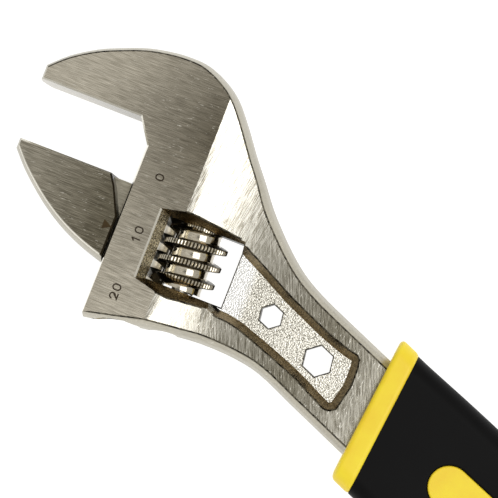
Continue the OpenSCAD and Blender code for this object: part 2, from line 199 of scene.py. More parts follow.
def mesh_from(bm: bmesh.types.BMesh, name: str, sharp_deg: float = 30.0) -> bpy.types.Mesh:
    """Writes a bmesh to a mesh that is smooth but for its sharp edges.

    Args:
        bm: the finished shape; it is freed.
        name: the mesh's name.
        sharp_deg: edges that turn more than this stay sharp.

    Returns:
        The new mesh.
    """
    for edge in bm.edges:
        if len(edge.link_faces) == 2 and edge.calc_face_angle(0.0) >= math.radians(sharp_deg):
            edge.smooth = False
    for face in bm.faces:
        face.smooth = True
    mesh = bpy.data.meshes.new(name)
    bm.to_mesh(mesh)
    bm.free()
    return mesh


def weigh_normals(obj: bpy.types.Object) -> None:
    """Lets the large faces set the shading at their edges.

    Args:
        obj: the piece.
    """
    modifier = obj.modifiers.new("face_weighted_normals", "WEIGHTED_NORMAL")
    modifier.keep_sharp = True
    modifier.weight = 50


# ---- finishes ---------------------------------------------------------------


class Finish(Protocol):
    """What every finish has: a name and a way to build its material."""

    name: str

    def material(self) -> bpy.types.Material:
        """Builds the material."""


@dataclass(frozen=True)
class PaintedLightPatch:
    """An oval patch of painted light, fading outwards: painted shade where its tint is darker, a painted highlight
    where it is white.
    """

    centre: tuple[float, float]
    reach_mm: tuple[float, float]
    tint: str = "#FFFFFF"
    angle_deg: float = 0.0

    def distance(self, tree: bpy.types.NodeTree, where: bpy.types.NodeSocket
                 ) -> bpy.types.NodeSocket:
        """Adds the distance from the patch's middle: 0 there, 1 at its rim.

        Args:
            tree: the material's nodes.
            where: the place, in metres.

        Returns:
            The distance.
        """
        x, y = self.centre
        moved = add(tree, "VectorMath", {0: where, 1: (x, y, 0.0)}, operation="SUBTRACT")
        turned = add(tree, "Mapping", {"Vector": moved.outputs[0],
                                       "Rotation": (0.0, 0.0, -math.radians(self.angle_deg))})
        along, across = self.reach_mm
        scaled = add(tree, "VectorMath",
                     {0: turned.outputs[0], 1: (1 / (along * MM), 1 / (across * MM), 0.0)},
                     operation="MULTIPLY")
        length = add(tree, "VectorMath", {0: scaled.outputs[0]}, operation="LENGTH")
        kept = add(tree, "MapRange", {"Value": length.outputs["Value"]})
        return kept.outputs[0]


@dataclass(frozen=True)
class BrushedPlate:
    """Satin nickel-chrome plate over ground steel.

    A belt leaves fine parallel scratches, so highlights smear across them and the
    face is a soft warm grey with a few scratches that catch the light.
    """

    name: str
    base: str = "#B4AEA2"
    streak: str = "#9E988C"
    fleck: str = "#E8E4DA"
    roughness: float = 0.27
    # Direction that the scratches run in, from the row's +X, at the head and neck
    angle_deg: float = 22.5
    neck_angle_deg: float = 22.5
    # Real scratches are about 0.05 mm apart; these are wider so that they show
    scratch_mm: float = 0.14
    scratch_length_mm: float = 3.0
    # Share of the noise between the two tones: the smaller, the harder the scratches
    spread: float = 0.22
    fleck_from: float = 0.67
    bump: float = 0.12
    # A darker patch multiplied into the colour: painted shade
    painted_shade: PaintedLightPatch | None = None

    def scratches(self, tree: bpy.types.NodeTree, where: bpy.types.NodeSocket,
                  angle_deg: float, width_mm: float, length_mm: float
                  ) -> bpy.types.NodeSocket:
        """Adds scratches along one direction.

        Args:
            tree: the material's nodes.
            where: the place, in metres.
            angle_deg: the direction they run in.
            width_mm: their width.
            length_mm: their length.

        Returns:
            The noise's value.
        """
        turned = add(tree, "Mapping",
                     {"Vector": where, "Rotation": (0.0, 0.0, -math.radians(angle_deg))})
        across, along = 1 / (width_mm * MM), 1 / (length_mm * MM)
        drawn = add(tree, "Mapping",
                    {"Vector": turned.outputs[0], "Scale": (along, across, across)})
        noise = add(tree, "TexNoise",
                    {"Vector": drawn.outputs[0], "Scale": 1.0, "Detail": 2.5,
                     "Roughness": 0.6})
        return noise.outputs["Fac"]

    def brushing(self, tree: bpy.types.NodeTree, where: bpy.types.NodeSocket
                 ) -> bpy.types.NodeSocket:
        """Adds the belt's scratches, which may turn another way along the neck.

        Args:
            tree: the material's nodes.
            where: the place, in metres.

        Returns:
            The noise's value.
        """
        size = self.scratch_mm, self.scratch_length_mm
        near = self.scratches(tree, where, self.angle_deg, *size)
        if self.neck_angle_deg == self.angle_deg:
            return near
        far = self.scratches(tree, where, self.neck_angle_deg, *size)
        place = add(tree, "SeparateXYZ", {0: where})
        share = add(tree, "MapRange",
                    {"Value": place.outputs["X"], "From Min": HEX_X - 16 * MM,
                     "From Max": HEX_X - 2 * MM})
        both = add(tree, "Mix", {"Factor": share.outputs[0], 2: near, 3: far})
        return both.outputs[0]

    def colour(self, tree: bpy.types.NodeTree, where: bpy.types.NodeSocket,
               fine: bpy.types.NodeSocket) -> bpy.types.NodeSocket:
        """Adds the plate's tones: scratches, clouds, the patch of painted shade and bright flecks.

        Args:
            tree: the material's nodes.
            where: the place, in metres.
            fine: the scratches' noise.

        Returns:
            The colour.
        """
        level = add(tree, "MapRange", {"Value": fine, "From Min": 0.5 - self.spread,
                                       "From Max": 0.5 + self.spread})
        tone = add(tree, "Mix", {"Factor": level.outputs[0], "A": linear(self.streak),
                                 "B": linear(self.base)}, data_type="RGBA")
        clouds = add(tree, "TexNoise", {"Vector": where, "Scale": 90.0, "Detail": 4.0})
        cloud = add(tree, "MapRange",
                    {"Value": clouds.outputs["Fac"], "From Min": 0.3, "From Max": 0.7,
                     "To Min": 0.88, "To Max": 1.06})
        layers = [cloud.outputs[0]]
        # Painted shade: the colour darkens towards the patch's middle
        if self.painted_shade:
            shade = add(tree, "Mix", {"Factor": self.painted_shade.distance(tree, where),
                                      "A": linear(self.painted_shade.tint),
                                      "B": linear("#FFFFFF")}, data_type="RGBA")
            layers.append(shade.outputs["Result"])
        colour = tone.outputs["Result"]
        for layer in layers:
            darker = add(tree, "Mix", {"Factor": 1.0, "A": colour, "B": layer},
                         data_type="RGBA", blend_type="MULTIPLY")
            colour = darker.outputs["Result"]
        bright = self.scratches(tree, where, self.angle_deg + 4, 0.16, 1.3)
        pick = add(tree, "MapRange", {"Value": bright, "From Min": self.fleck_from,
                                      "From Max": self.fleck_from + 0.03})
        flecked = add(tree, "Mix", {"Factor": pick.outputs[0], "A": colour,
                                    "B": linear(self.fleck)}, data_type="RGBA")
        return flecked.outputs["Result"]

    def material(self) -> bpy.types.Material:
        """Builds the material."""
        material, tree = new_material(self.name)
        where = add(tree, "TexCoord").outputs["Object"]
        fine = self.brushing(tree, where)
        rough = add(tree, "MapRange",
                    {"Value": fine, "From Min": 0.3, "From Max": 0.7,
                     "To Min": self.roughness - 0.05, "To Max": self.roughness + 0.05})
        relief = add(tree, "Bump", {"Strength": self.bump, "Distance": 0.02 * MM,
                                    "Height": fine})
        shader = add(tree, "BsdfPrincipled",
                     {"Base Color": self.colour(tree, where, fine), "Metallic": 1.0,
                      "Roughness": rough.outputs[0], "Normal": relief.outputs[0]})
        add(tree, "OutputMaterial", {"Surface": shader.outputs[0]})
        return material


@dataclass(frozen=True)
class BlastedPlate:
    """Bright plate over a shot-blasted forging.

    Every dent throws its own small highlight, so the floor sparkles in black and white. Walls that face away from
    the light are given a brown copy as painted shade.
    """

    name: str
    base: str = "#E2DFD6"
    pit: str = "#7E796C"
    roughness: float = 0.2
    # Dents of about 0.25 mm, as the shot leaves them
    grain_mm: float = 0.25
    bump: float = 1.0
    depth_mm: float = 0.09
    # A patch whose middle is a painted highlight that clears the dents
    painted_highlight: PaintedLightPatch | None = None

    def material(self) -> bpy.types.Material:
        """Builds the material."""
        material, tree = new_material(self.name)
        where = add(tree, "TexCoord").outputs["Object"]
        grains = add(tree, "TexNoise",
                     {"Vector": where, "Scale": 1 / (self.grain_mm * MM), "Detail": 2.0,
                      "Roughness": 0.6})
        tone = add(tree, "ValToRGB", {"Fac": grains.outputs["Fac"]})
        pit, top = tone.color_ramp.elements
        pit.position, pit.color = 0.38, linear(self.pit)
        top.position, top.color = 0.56, linear(self.base)
        colour, strength = tone.outputs["Color"], self.bump
        # Painted highlight: towards the patch's middle the colour turns to its tint and the dents flatten
        if self.painted_highlight:
            dented = add(tree, "MapRange", {"Value": self.painted_highlight.distance(tree, where),
                                            "From Min": 0.6})
            clear = add(tree, "Mix", {"Factor": dented.outputs[0],
                                      "A": linear(self.painted_highlight.tint), "B": colour},
                        data_type="RGBA")
            depth = add(tree, "MapRange", {"Value": dented.outputs[0], "To Min": 0.6,
                                           "To Max": self.bump})
            colour, strength = clear.outputs["Result"], depth.outputs[0]
        relief = add(tree, "Bump", {"Strength": strength, "Distance": self.depth_mm * MM,
                                    "Height": grains.outputs["Fac"]})
        shader = add(tree, "BsdfPrincipled",
                     {"Base Color": colour, "Metallic": 1.0,
                      "Roughness": self.roughness, "Normal": relief.outputs[0]})
        add(tree, "OutputMaterial", {"Surface": shader.outputs[0]})
        return material


@dataclass(frozen=True)
class MouldedPlastic:
    """Moulded plastic or rubber with a fine spark-eroded texture.

    The tool's texture breaks the gloss up, and handling leaves slightly duller
    and slightly shinier patches.
    """

    name: str
    base: str
    shade: str
    roughness: float
    specular: float = 0.5
    # The mould's texture, about 0.15 mm from peak to peak
    grain_mm: float = 0.15
    bump: float = 0.15
    subsurface: float = 0.0

    def material(self) -> bpy.types.Material:
        """Builds the material."""
        material, tree = new_material(self.name)
        where = add(tree, "TexCoord").outputs["Object"]
        patches = add(tree, "TexNoise", {"Vector": where, "Scale": 180.0, "Detail": 5.0})
        grain = add(tree, "TexNoise",
                    {"Vector": where, "Scale": 1 / (self.grain_mm * MM), "Detail": 2.0})
        tone = add(tree, "ValToRGB", {"Fac": patches.outputs["Fac"]})
        dull, clear = tone.color_ramp.elements
        dull.position, dull.color = 0.3, linear(self.shade)
        clear.position, clear.color = 0.65, linear(self.base)
        rough = add(tree, "MapRange",
                    {"Value": patches.outputs["Fac"], "From Min": 0.3, "From Max": 0.7,
                     "To Min": self.roughness - 0.06, "To Max": self.roughness + 0.06})
        relief = add(tree, "Bump", {"Strength": self.bump, "Distance": 0.02 * MM,
                                    "Height": grain.outputs["Fac"]})
        shader = add(tree, "BsdfPrincipled",
                     {"Base Color": tone.outputs["Color"], "Roughness": rough.outputs[0],
                      "Specular IOR Level": self.specular, "Normal": relief.outputs[0],
                      "Subsurface Weight": self.subsurface,
                      "Subsurface Radius": (0.4 * MM, 0.3 * MM, 0.1 * MM),
                      "Subsurface Scale": 1.0})
        add(tree, "OutputMaterial", {"Surface": shader.outputs[0]})
        return material


@dataclass(frozen=True)
class SweptPaper:
    """White background paper, lit from above until it is nearly clear white."""

    name: str = "white_background_paper"
    glow: float = 0.94

    def material(self) -> bpy.types.Material:
        """Builds the material."""
        material, tree = new_material(self.name)
        where = add(tree, "TexCoord")
        fibre = add(tree, "TexNoise", {"Vector": where.outputs["Object"], "Scale": 900.0})
        tone = add(tree, "ValToRGB", {"Fac": fibre.outputs["Fac"]})
        tone.color_ramp.elements[0].color = linear("#8A8A89")
        tone.color_ramp.elements[1].color = linear("#929291")
        shader = add(
            tree,
            "BsdfPrincipled",
            {"Base Color": tone.outputs["Color"], "Roughness": 0.9,
             "Emission Color": (1.0, 1.0, 1.0, 1.0), "Emission Strength": self.glow},
        )
        add(tree, "OutputMaterial", {"Surface": shader.outputs[0]})
        return material


P_ANGLE_DEG = math.degrees(math.atan2(JAW.p_axis.y, JAW.p_axis.x))


def jaw_patch(p_mm: float, q_mm: float, reach_mm: tuple[float, float], tint: str) -> PaintedLightPatch:
    """Returns a patch placed in the jaws' axes.

    Args:
        p_mm: its middle behind the jaw face.
        q_mm: its middle below the fixed jaw.
        reach_mm: its two half widths.
        tint: the tone at its middle.
    """
    middle = JAW.point(p_mm * MM, q_mm * MM, 0.0)
    return PaintedLightPatch((middle.x, middle.y), reach_mm, tint, P_ANGLE_DEG)


# The face darkens towards a patch behind the jaw: painted shade
FACE_PLATE = BrushedPlate(
    "satin_plate_ground_face", base="#ECE5D6", streak="#BCB5A6", spread=0.2,
    painted_shade=jaw_patch(11, -1, (24, 32), "#858178"),
)
# The neck darkens towards a band across the handle: painted shade
NECK_PLATE = BrushedPlate(
    "satin_plate_belt_finished_neck", base="#F8F5EC", streak="#ACA696",
    fleck="#FFFCF2", roughness=0.27, angle_deg=104.0, neck_angle_deg=134.0,
    scratch_mm=0.16, scratch_length_mm=2.6, spread=0.14, fleck_from=0.64, bump=0.35,
    painted_shade=PaintedLightPatch((HEX_X + 9 * MM, HANDLE_Y), (26, 200), "#9E9B91"),
)
WALL_PLATE = BrushedPlate(
    "satin_plate_forged_wall", base="#BDB8A8", streak="#9C9686", roughness=0.36,
    spread=0.15,
)
# The jaw darkens towards a band near its face: painted shade
JAW_PLATE = BrushedPlate(
    "satin_plate_jaw_face", base="#D2CCBE", streak="#958F81", roughness=0.25,
    spread=0.18, painted_shade=jaw_patch(-2, 20, (20, 200), "#A9A69C"),
)
GROUND_EDGE = BrushedPlate(
    "polished_plate_ground_edge", base="#F6F3EA", streak="#E4E0D4", roughness=0.2,
)
FORGED_EDGE = BrushedPlate(
    "worn_plate_forged_edge", base="#6A6558", streak="#1E1B14", fleck="#C9C5B8",
    roughness=0.4, scratch_mm=0.5, scratch_length_mm=0.9, spread=0.1,
)
# Near-black plate for hollows, undersides, deep walls and tooth flanks: painted shade
DEEP_PLATE = BrushedPlate(
    "deep_cut_painted_shade", base="#3E372A", streak="#1C170E", fleck="#6A604C",
    roughness=0.35,
)
# The white patch near the window is a painted highlight on the panel floor
PANEL_PLATE = BlastedPlate(
    "bright_plate_blasted_panel", pit="#8A867A",
    painted_highlight=jaw_patch(20.5, 22, (4.2, 40), "#FFFFFF"),
)
# Brown copy of the blasted plate for walls that face away from the light: painted shade
RECESS_PLATE = BlastedPlate(
    "blasted_wall_painted_shade", base="#B3A07C", pit="#5C4C30", bump=0.6,
)
LIP_PLATE = BlastedPlate(
    "bright_plate_blasted_lip", base="#F2ECD8", pit="#6E654D", bump=1.0,
)
WORM_PLATE = BrushedPlate(
    "bright_plate_turned_worm", base="#DAD4C6", streak="#B3AA98", roughness=0.12,
    scratch_length_mm=1.0, bump=0.05,
)
# The rack's plate is near white so that its tooth tips show a painted highlight
RACK_PLATE = BrushedPlate(
    "rack_plate_painted_highlight", base="#FFFDF6", streak="#E6E2D6", roughness=0.34,
    scratch_length_mm=1.0,
)
# Dark plate on the worm's flanks and knurl grooves: painted shade
WORM_GROOVE = BrushedPlate(
    "worm_flank_painted_shade", base="#5E5644", streak="#332C1E", fleck="#8A8068",
    roughness=0.3,
)
PIN_STEEL = BrushedPlate("turned_pin_steel", base="#A8A49A", streak="#86817A")
SPRING_WIRE = BrushedPlate("drawn_spring_wire", base="#9A978F", streak="#74716A",
                           roughness=0.25)
YELLOW_SHOT = MouldedPlastic(
    "yellow_moulded_polypropylene", base="#FFE630", shade="#F8D526", roughness=0.45,
    subsurface=0.05,
)
BLACK_SHOT = MouldedPlastic(
    "black_moulded_soft_rubber", base="#0F0F10", shade="#0C0C0D", roughness=0.5,
    specular=0.08, grain_mm=0.2, bump=0.3,
)
MARK_FILL = MouldedPlastic("dark_mark_fill", base="#3A3025", shade="#2A2219",
                           roughness=0.7, specular=0.15)
ARROW_FILL = MouldedPlastic("brown_arrow_fill", base="#4A3A1C", shade="#3A2C14",
                            roughness=0.6, specular=0.2)


# ---- forged parts -----------------------------------------------------------


class Zone(Enum):
    """The zones of the forgings, each with its own finish; DEEP and RECESS carry painted shade, and RACK a painted
    highlight.
    """

    FACE = 0
    NECK = 1
    WALL = 2
    PANEL = 3
    RECESS = 4
    LIP = 5
    DEEP = 6
    GROUND_EDGE = 7
    FORGED_EDGE = 8
    JAW = 9
    RACK = 10


FINISH_OF = {
    Zone.FACE: FACE_PLATE, Zone.NECK: NECK_PLATE, Zone.WALL: WALL_PLATE,
    Zone.PANEL: PANEL_PLATE, Zone.RECESS: RECESS_PLATE, Zone.LIP: LIP_PLATE,
    Zone.DEEP: DEEP_PLATE, Zone.GROUND_EDGE: GROUND_EDGE,
    Zone.FORGED_EDGE: FORGED_EDGE, Zone.JAW: JAW_PLATE, Zone.RACK: RACK_PLATE,
}


def finish_material(finish: Finish) -> bpy.types.Material:
    """Returns a finish's material, which is built once."""
    return bpy.data.materials.get(finish.name) or finish.material()


def cleaned_copy(node: str) -> bmesh.types.BMesh:
    """Copies a CAD node's mesh, joins its split corners and merges flat triangles.

    Args:
        node: the CAD node's name.

    Returns:
        The cleaned shape.
    """
    bm = bmesh.new()
    bm.from_mesh(frame["nodes"][node].data)
    bmesh.ops.remove_doubles(bm, verts=bm.verts, dist=0.03 * MM)
    bmesh.ops.dissolve_degenerate(bm, dist=0.01 * MM, edges=bm.edges)
    bmesh.ops.dissolve_limit(
        bm, angle_limit=math.radians(0.5), verts=bm.verts, edges=bm.edges,
    )
    bmesh.ops.recalc_face_normals(bm, faces=bm.faces)
    for edge in bm.edges:
        edge.smooth = True
    return bm


# A face is flat when its normal stands up at least this much
FLAT = 0.9
# The forgings' outer faces and edges are at least this far from the middle plane
OUTER_FACE = 3.5 * MM
OUTER_EDGE = 3.6 * MM
# Only edges that turn more than this are eased, in radians
EASED_TURN = math.radians(28)


def ease_edges(bm: bmesh.types.BMesh, ground_width: float, forged_width: float) -> None:
    """Rounds the sharp edges round the flat faces, and names the new strips' zone.

    An edge with a cut wall is ground and bright. One with a drafted wall is left
    from the forging, and dark.

    Args:
        bm: the shape, with its zones already set.
        ground_width: the reach of a ground edge's chamfer.
        forged_width: the reach of a forged edge's rounding.
    """
    groups: dict[Zone, list[bmesh.types.BMEdge]] = {
        Zone.GROUND_EDGE: [], Zone.FORGED_EDGE: [],
    }
    for edge in bm.edges:
        if len(edge.link_faces) != 2 or edge.calc_face_angle_signed(0) < EASED_TURN:
            continue
        flat = [f for f in edge.link_faces if abs(f.normal.z) > FLAT]
        walls = [f for f in edge.link_faces if abs(f.normal.z) <= FLAT]
        if len(flat) != 1:
            continue
        outer = abs(flat[0].calc_center_median().z) > OUTER_FACE
        if not outer and flat[0].material_index != Zone.PANEL.value:
            continue
        wall, middle = walls[0], (edge.verts[0].co + edge.verts[1].co) / 2
        ground = Zone(wall.material_index) in (Zone.JAW, Zone.LIP) or abs(wall.normal.z) < 0.01
        ground = ground and abs(middle.z) > OUTER_EDGE
        groups[Zone.GROUND_EDGE if ground else Zone.FORGED_EDGE].append(edge)
    for zone, edges in groups.items():
        ground = zone == Zone.GROUND_EDGE
        made = bmesh.ops.bevel(
            bm, geom=[e for e in edges if e.is_valid],
            offset=ground_width if ground else forged_width,
            offset_type="OFFSET", segments=1 if ground else 2,
            profile=0.5, affect="EDGES", clamp_overlap=False,
        )
        for face in made["faces"]:
            face.material_index = zone.value
        for face in made["faces"] if ground else []:
            for edge in face.edges:
                if any(f.material_index != zone.value for f in edge.link_faces):
                    edge.smooth = False


@dataclass
class Forging:
    """A forging that is finished zone by zone, with its edges eased."""

    name: str = "forging"
    ground_width: float = 0.28 * MM
    forged_width: float = 0.2 * MM

    def zone(self, centre: Vector, normal: Vector) -> Zone:
        """Names the zone that a face belongs to.

        Args:
            centre: the face's middle.
            normal: its normal.

        Returns:
            The face's zone.
        """
        raise NotImplementedError

    def correct_edges(self, bm: bmesh.types.BMesh) -> None:
        """Corrects the eased edges where this forging's differ.

        Args:
            bm: the shape.
        """
        raise NotImplementedError

    def shape(self, node: str) -> bpy.types.Object:
        """Makes the forging's piece and dresses it by zone.

        Args:
            node: the CAD node that it stands for.

        Returns:
            The piece.
        """
        bm = cleaned_copy(node)
        for face in bm.faces:
            face.material_index = self.zone(face.calc_center_median(), face.normal).value
        ease_edges(bm, self.ground_width, self.forged_width)
        self.correct_edges(bm)
        obj = new_object(self.name, mesh_from(bm, self.name, 26.0))
        for zone in Zone:
            obj.data.materials.append(finish_material(FINISH_OF[zone]))
        weigh_normals(obj)
        return obj


@dataclass
class WrenchBody(Forging):
    """The forged body: head, fixed jaw, neck and tang."""

    name: str = "forged_body"
    # The head's face ends and its slope starts this far behind the jaw face
    face_end: float = 10.05 * MM
    # The window, along p and along q
    window_p: tuple[float, float] = (5.7 * MM, 21 * MM)
    window_q: tuple[float, float] = (11.6 * MM, 26.9 * MM)
    window_wall: float = 3.4 * MM
    lip_p: float = 6.0 * MM
    lip_chamfer: float = 0.18 * MM
    # The panel, along the handle, across it and up to its rim
    panel_x: tuple[float, float] = (-18 * MM, 19 * MM)
    panel_half: float = 7.2 * MM
    panel_floor: float = 2.2 * MM
    panel_rim: float = 4.6 * MM
    panel_p: float = 12 * MM

    def zone(self, centre: Vector, normal: Vector) -> Zone:
        """Names the zone that a face belongs to.

        Args:
            centre: the face's middle.
            normal: its normal.

        Returns:
            The face's zone.
        """
        p, q = JAW.local(centre)
        height = abs(centre.z)
        if abs(normal.z) > FLAT:
            # Flat faces that face the middle plane get the dark deep finish: painted shade
            if normal.z * centre.z < 0:
                return Zone.DEEP
            if abs(height - self.panel_floor) < 0.05 * MM:
                return Zone.PANEL
            return Zone.FACE if p < self.face_end else Zone.NECK
        return self.wall_zone(p, q, centre, normal)

    def wall_zone(self, p: float, q: float, centre: Vector, normal: Vector) -> Zone:
        """Names the zone of a face that isn't flat.

        Args:
            p: the face's place behind the jaw face.
            q: its place below the fixed jaw.
            centre: its middle.
            normal: its normal.

        Returns:
            The face's zone.
        """
        height, upright = abs(centre.z), abs(normal.z) < 0.01
        in_window = (self.window_p[0] < p < self.window_p[1]
                     and self.window_q[0] < q < self.window_q[1])
        # Window walls that don't face the handle get painted shade: brown above window_wall, near black below it
        if in_window and height < HALF_HEAD - 0.05 * MM:
            if normal.dot(JAW.p_axis) > 0.5:
                return Zone.LIP
            return Zone.RECESS if height > self.window_wall else Zone.DEEP
        in_panel = (self.panel_x[0] < centre.x - HEX_X < self.panel_x[1]
                    and abs(centre.y - HANDLE_Y) < self.panel_half)
        # The panel's walls get painted shade: near black below its floor, brown behind panel_p
        if in_panel and upright and height < self.panel_floor:
            return Zone.DEEP
        if in_panel and height < self.panel_rim and p > self.panel_p:
            return Zone.RECESS
        return Zone.JAW if upright and p < 0.05 * MM else Zone.WALL

    def correct_edges(self, bm: bmesh.types.BMesh) -> None:
        """Widens the chamfer along the window's front onto the face.

        Args:
            bm: the shape.
        """
        for vert in bm.verts:
            p, q = JAW.local(vert.co)
            beside = abs(p - self.lip_p) < 0.03 * MM and abs(vert.co.z) > HALF_HEAD - 0.02 * MM
            if beside and self.window_q[0] < q < self.window_q[1]:
                vert.co -= JAW.p_axis * self.lip_chamfer

    def build(self) -> bpy.types.Object:
        """Makes the body's piece."""
        obj = self.shape("body")
        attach(obj, "wrench_body")
        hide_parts("body")
        return obj


@dataclass
class MovingJaw(Forging):
    """The moving jaw with its web and rack rod."""

    name: str = "forged_moving_jaw"
    web_half: float = 2.1 * MM
    rack_start: float = 7.0 * MM

    def zone(self, centre: Vector, normal: Vector) -> Zone:
        """Names the zone that a face belongs to.

        Args:
            centre: the face's middle.
            normal: its normal.

        Returns:
            The face's zone.
        """
        p, _ = JAW.local(centre)
        # The rack's tooth flanks get the dark deep finish: painted shade
        if p > self.rack_start and abs(normal.dot(JAW.q_axis)) > 0.2:
            return Zone.DEEP
        if p > 0:
            return Zone.RACK
        if abs(normal.z) > FLAT:
            return Zone.JAW if abs(centre.z) > self.web_half else Zone.WALL
        # Faces towards the head: painted shade
        return Zone.DEEP if normal.dot(JAW.p_axis) > 0.3 else Zone.WALL

    def correct_edges(self, bm: bmesh.types.BMesh) -> None:
        """Makes every edge ground, but paints it dark as painted shade where it faces the head.

        Args:
            bm: the shape.
        """
        for face in bm.faces:
            if face.material_index in (Zone.FORGED_EDGE.value, Zone.GROUND_EDGE.value):
                rear = face.normal.dot(JAW.p_axis) > 0.2
                face.material_index = (Zone.DEEP if rear else Zone.GROUND_EDGE).value

    def build(self) -> bpy.types.Object:
        """Makes the moving jaw's piece."""
        obj = self.shape("movable_jaw")
        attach(obj, "sliding_jaw")
        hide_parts("movable_jaw")
        return obj


# ---- worm -------------------------------------------------------------------


@dataclass
class Worm:
    """The knurled worm: one right-hand thread with ridges across its crest."""

    lead: float = 3.0 * MM
    crest_r: float = 5.3 * MM
    core_r: float = 3.5 * MM
    crest_w: float = 0.86 * MM
    base_w: float = 1.5 * MM
    length: float = 10.8 * MM
    bore_r: float = 1.56 * MM
    ridges: int = 54
    steps_a_ridge: int = 4
    knurl_depth: float = 0.26 * MM
    hub_step: float = 0.15 * MM
    hub_len: float = 0.55 * MM
    # Height of the crest above the worm's upper end, on the rack's side
    start: float = 1.0 * MM
    name: str = "knurled_worm"
    profile: list[tuple[float, float, float]] = field(default_factory=list)

    def __post_init__(self) -> None:
        """Works the thread's profile out: height, radius and share of the knurl."""
        half_crest = self.crest_w / 2
        half_base = self.base_w / 2
        ease = 0.12 * MM
        root = self.lead - half_base
        drop = self.crest_r - self.core_r
        self.profile = [
            (-half_crest + ease, self.crest_r, 1.0),
            (0.0, self.crest_r, 1.0),
            (half_crest - ease, self.crest_r, 1.0),
            (half_crest - 0.02 * MM, self.crest_r - ease * 0.7, 0.6),
            (half_crest + 0.08 * MM, self.crest_r - drop * 0.22, 0.0),
            (half_base - 0.08 * MM, self.core_r + drop * 0.2, 0.0),
            (half_base + 0.12 * MM, self.core_r + drop * 0.03, 0.0),
            (half_base + 0.3 * MM, self.core_r, 0.0),
            (root - 0.3 * MM, self.core_r, 0.0),
            (root - 0.12 * MM, self.core_r + drop * 0.03, 0.0),
            (root + 0.08 * MM, self.core_r + drop * 0.2, 0.0),
            (self.lead - half_crest - 0.08 * MM, self.crest_r - drop * 0.22, 0.0),
            (self.lead - half_crest + 0.02 * MM, self.crest_r - ease * 0.7, 0.6),
        ]

    def turned_down(self, radius: float, z: float) -> float:
        """Turns both ends down to a short hub.

        Args:
            radius: the screw's radius there.
            z: the height above the worm's upper end.

        Returns:
            The radius that is left.
        """
        away = max(min(z, self.length - z), 0.0)
        limit = self.core_r + self.hub_step + max(away - self.hub_len, 0.0) * 1.6
        return min(radius, limit)

    def part_of(self, row: int, step: int) -> int:
        """Says which finish a face has.

        Args:
            row: the face's row in the profile.
            step: its step round the thread.

        Returns:
            0 for the bright crest and core, 1 for the flanks and knurl grooves, painted dark as painted shade.
        """
        share = self.profile[row][2]
        after = self.profile[(row + 1) % len(self.profile)]
        radius = min(self.profile[row][1], after[1])
        # The knurl's grooves across the crest are painted dark: painted shade
        if share > 0 and after[2] > 0:
            return 1 if 0 < step % self.steps_a_ridge < 3 else 0
        return 0 if radius < self.core_r + 0.06 * MM else 1

    def screw(self) -> bmesh.types.BMesh:
        """Sweeps the profile along the thread, with its ends still uncut."""
        bm = bmesh.new()
        around = self.ridges * self.steps_a_ridge
        corners = len(self.profile)
        first = self.start - self.lead / 2 - 2 * self.lead
        rows = corners * (math.ceil(self.length / self.lead) + 3)
        grid = []
        for row in range(rows):
            rise, radius, share = self.profile[row % corners]
            line = []
            for step in range(around):
                turn = 2 * math.pi * step / around
                dent = 0.5 - 0.5 * math.cos(self.ridges * turn)
                z = first + self.lead * (row // corners) + rise + self.lead * step / around
                r = self.turned_down(radius - self.knurl_depth * share * dent, z)
                line.append(bm.verts.new((r * math.cos(turn), r * math.sin(turn), z)))
            grid.append(line)
        for row in range(rows - 1 - corners):
            for step in range(around):
                after = step + 1
                here, up = grid[row][step], grid[row + 1][step]
                if after < around:
                    beside, over = grid[row][after], grid[row + 1][after]
                else:
                    beside, over = grid[row + corners][0], grid[row + 1 + corners][0]
                face = bm.faces.new((here, beside, over, up))
                face.material_index = self.part_of(row % corners, step)
        return bm

    def cut_end(self, bm: bmesh.types.BMesh, z: float, sign: int) -> None:
        """Cuts the screw square at z and closes it round its bore.

        Args:
            bm: the screw.
            z: the height of the end face.
            sign: 1 for the upper end, -1 for the lower.
        """
        bmesh.ops.bisect_plane(
            bm, geom=bm.verts[:] + bm.edges[:] + bm.faces[:], plane_co=(0, 0, z),
            plane_no=(0, 0, sign), clear_outer=True, dist=1e-8,
        )
        rim = [e for e in bm.edges if e.is_boundary and abs(e.verts[0].co.z - z) < 1e-7
               and abs(e.verts[1].co.z - z) < 1e-7]
        count = 48
        turns = [2 * math.pi * i / count for i in range(count)]
        ring = [bm.verts.new((self.bore_r * math.cos(t), self.bore_r * math.sin(t), z))
                for t in turns]
        hole = [bm.edges.new((ring[i], ring[(i + 1) % count])) for i in range(count)]
        bmesh.ops.triangle_fill(bm, edges=rim + hole, use_beauty=True)

    def build(self) -> bpy.types.Object:
        """Makes the worm's piece."""
        bm = self.screw()
        self.cut_end(bm, 0.0, -1)
        self.cut_end(bm, self.length, 1)
        loose = [v for v in bm.verts if not v.link_faces]
        bmesh.ops.delete(bm, geom=loose, context="VERTS")
        bore = [e for e in bm.edges if e.is_boundary]
        bmesh.ops.bridge_loops(bm, edges=bore)
        bmesh.ops.recalc_face_normals(bm, faces=bm.faces)
        low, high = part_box("worm")
        across = JAW.q_axis.cross(JAW.p_axis)
        place = Matrix((JAW.p_axis, across, JAW.q_axis)).transposed().to_4x4()
        place.translation = (low + high) / 2 - JAW.q_axis * (self.length / 2)
        bm.transform(place)
        obj = new_object(self.name, mesh_from(bm, self.name, 40.0))
        obj.data.materials.append(finish_material(WORM_PLATE))
        obj.data.materials.append(finish_material(WORM_GROOVE))
        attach(obj, "worm_screw")
        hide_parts("worm")
        return obj


# ---- grip -------------------------------------------------------------------


Loop = list[tuple[float, float]]
Ring = list[bmesh.types.BMVert]


